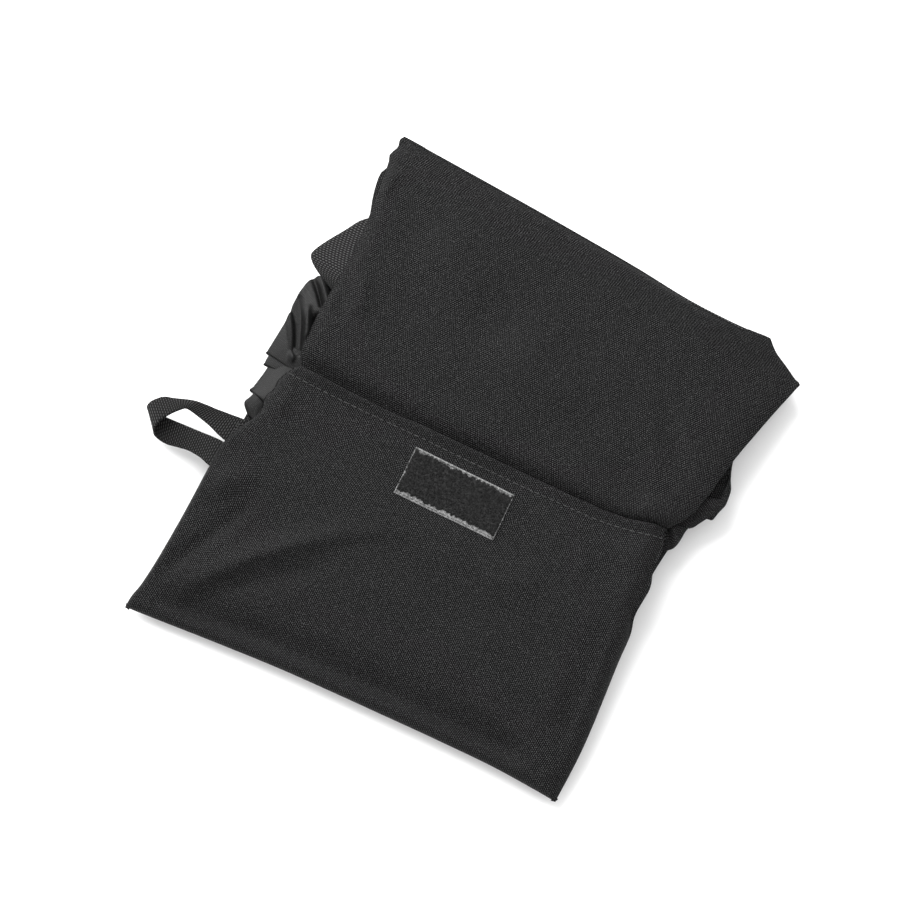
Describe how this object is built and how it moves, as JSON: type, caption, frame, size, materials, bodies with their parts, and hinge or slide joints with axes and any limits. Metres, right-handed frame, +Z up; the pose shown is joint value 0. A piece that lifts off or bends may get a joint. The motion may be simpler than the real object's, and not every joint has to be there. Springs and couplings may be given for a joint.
{
  "type": "saddle sandbag",
  "caption": "Empty black cloth saddle sandbag, folded flat: joined pouches with hemmed mouths, hook-and-loop flaps, pleated sides, a wide webbing handle and a narrow side loop.",
  "frame": {"origin": "middle of the underside, on the plane that the folded bag rests on", "axes": "+Z up through the folded stack, +Y along the bag's length from the pouches' folded bottoms towards the saddle fold, +X across the width with the side loop at -X"},
  "size_m": [0.2783, 0.28, 0.024],
  "materials": {
    "shell_cloth": "woven coated polyester, dull with a faint sheen",
    "webbing": "ribbed woven webbing",
    "hook_and_loop": "napped pile with a paler woven selvage",
    "seam_thread": "twisted polyester thread",
    "binding_tape": "flat woven tape"
  },
  "bodies": {
    "lower_pouch": {"back_panel_lower": "shell_cloth", "gusset_left_lower": "shell_cloth", "gusset_right_lower": "shell_cloth", "side_tape_left_lower": "binding_tape", "side_tape_right_lower": "binding_tape", "bottom_tape_lower": "binding_tape", "shoulder_lower": "shell_cloth"},
    "lower_front": {"front_panel_lower": "shell_cloth", "mouth_hem_lower": "shell_cloth", "hem_stitching_lower": "seam_thread", "loop_patch_lower": "hook_and_loop", "patch_stitching_lower": "seam_thread"},
    "lower_flap": {"flap_lower": "shell_cloth", "flap_hem_lower": "shell_cloth", "hook_patch_lower": "hook_and_loop"},
    "upper_pouch": {"back_panel_upper": "shell_cloth", "gusset_left_upper": "shell_cloth", "gusset_right_upper": "shell_cloth", "side_tape_left_upper": "binding_tape", "side_tape_right_upper": "binding_tape", "bottom_tape_upper": "binding_tape", "shoulder_upper": "shell_cloth", "handle_sewn_ends": "webbing", "handle_box_stitching": "seam_thread", "side_loop_tab": "webbing", "side_loop_bartack": "seam_thread"},
    "upper_front": {"front_panel_upper": "shell_cloth", "mouth_hem_upper": "shell_cloth", "hem_stitching_upper": "seam_thread", "loop_patch_upper": "hook_and_loop", "patch_stitching_upper": "seam_thread"},
    "upper_flap": {"flap_upper": "shell_cloth", "flap_hem_upper": "shell_cloth", "hook_patch_upper": "hook_and_loop"},
    "handle": {"handle_webbing": "webbing"},
    "side_loop": {"side_loop": "webbing"}
  },
  "joints": [
    {"name": "saddle_fold", "type": "hinge", "parent": "lower_pouch", "child": "upper_pouch", "pos_m": [0, 0.1395, 0.012], "axis": [-1, 0, 0], "range_deg": [0, 180]},
    {"name": "upper_mouth", "type": "hinge", "parent": "upper_pouch", "child": "upper_front", "pos_m": [-0.1177, -0.1423, 0.008], "axis": [0.9993, 0.0366, 0], "range_deg": [0, 50]},
    {"name": "lower_mouth", "type": "hinge", "parent": "lower_pouch", "child": "lower_front", "pos_m": [-0.1177, -0.1423, 0.0006], "axis": [-0.9993, -0.0366, 0], "range_deg": [0, 50]},
    {"name": "upper_flap_lift", "type": "hinge", "parent": "upper_pouch", "child": "upper_flap", "pos_m": [-0.1135, 0.1284, 0.0188], "axis": [-0.9996, 0.0258, -0.0073], "range_deg": [0, 90]},
    {"name": "lower_flap_lift", "type": "hinge", "parent": "lower_pouch", "child": "lower_flap", "pos_m": [-0.1135, 0.1284, -0.0001], "axis": [0.9997, -0.0258, 0], "range_deg": [0, 90]},
    {"name": "handle_lift", "type": "hinge", "parent": "upper_pouch", "child": "handle", "pos_m": [0, 0.1122, 0.0146], "axis": [-1, 0, 0], "range_deg": [0, 45]},
    {"name": "side_loop_swing", "type": "hinge", "parent": "upper_pouch", "child": "side_loop", "pos_m": [-0.1195, -0.0466, 0.015], "axis": [0, 1, 0], "range_deg": [-15, 95]}
  ],
  "couplings": [
    {"joint": "handle_lift", "follows": "upper_flap_lift", "ratio": 0.5}
  ]
}
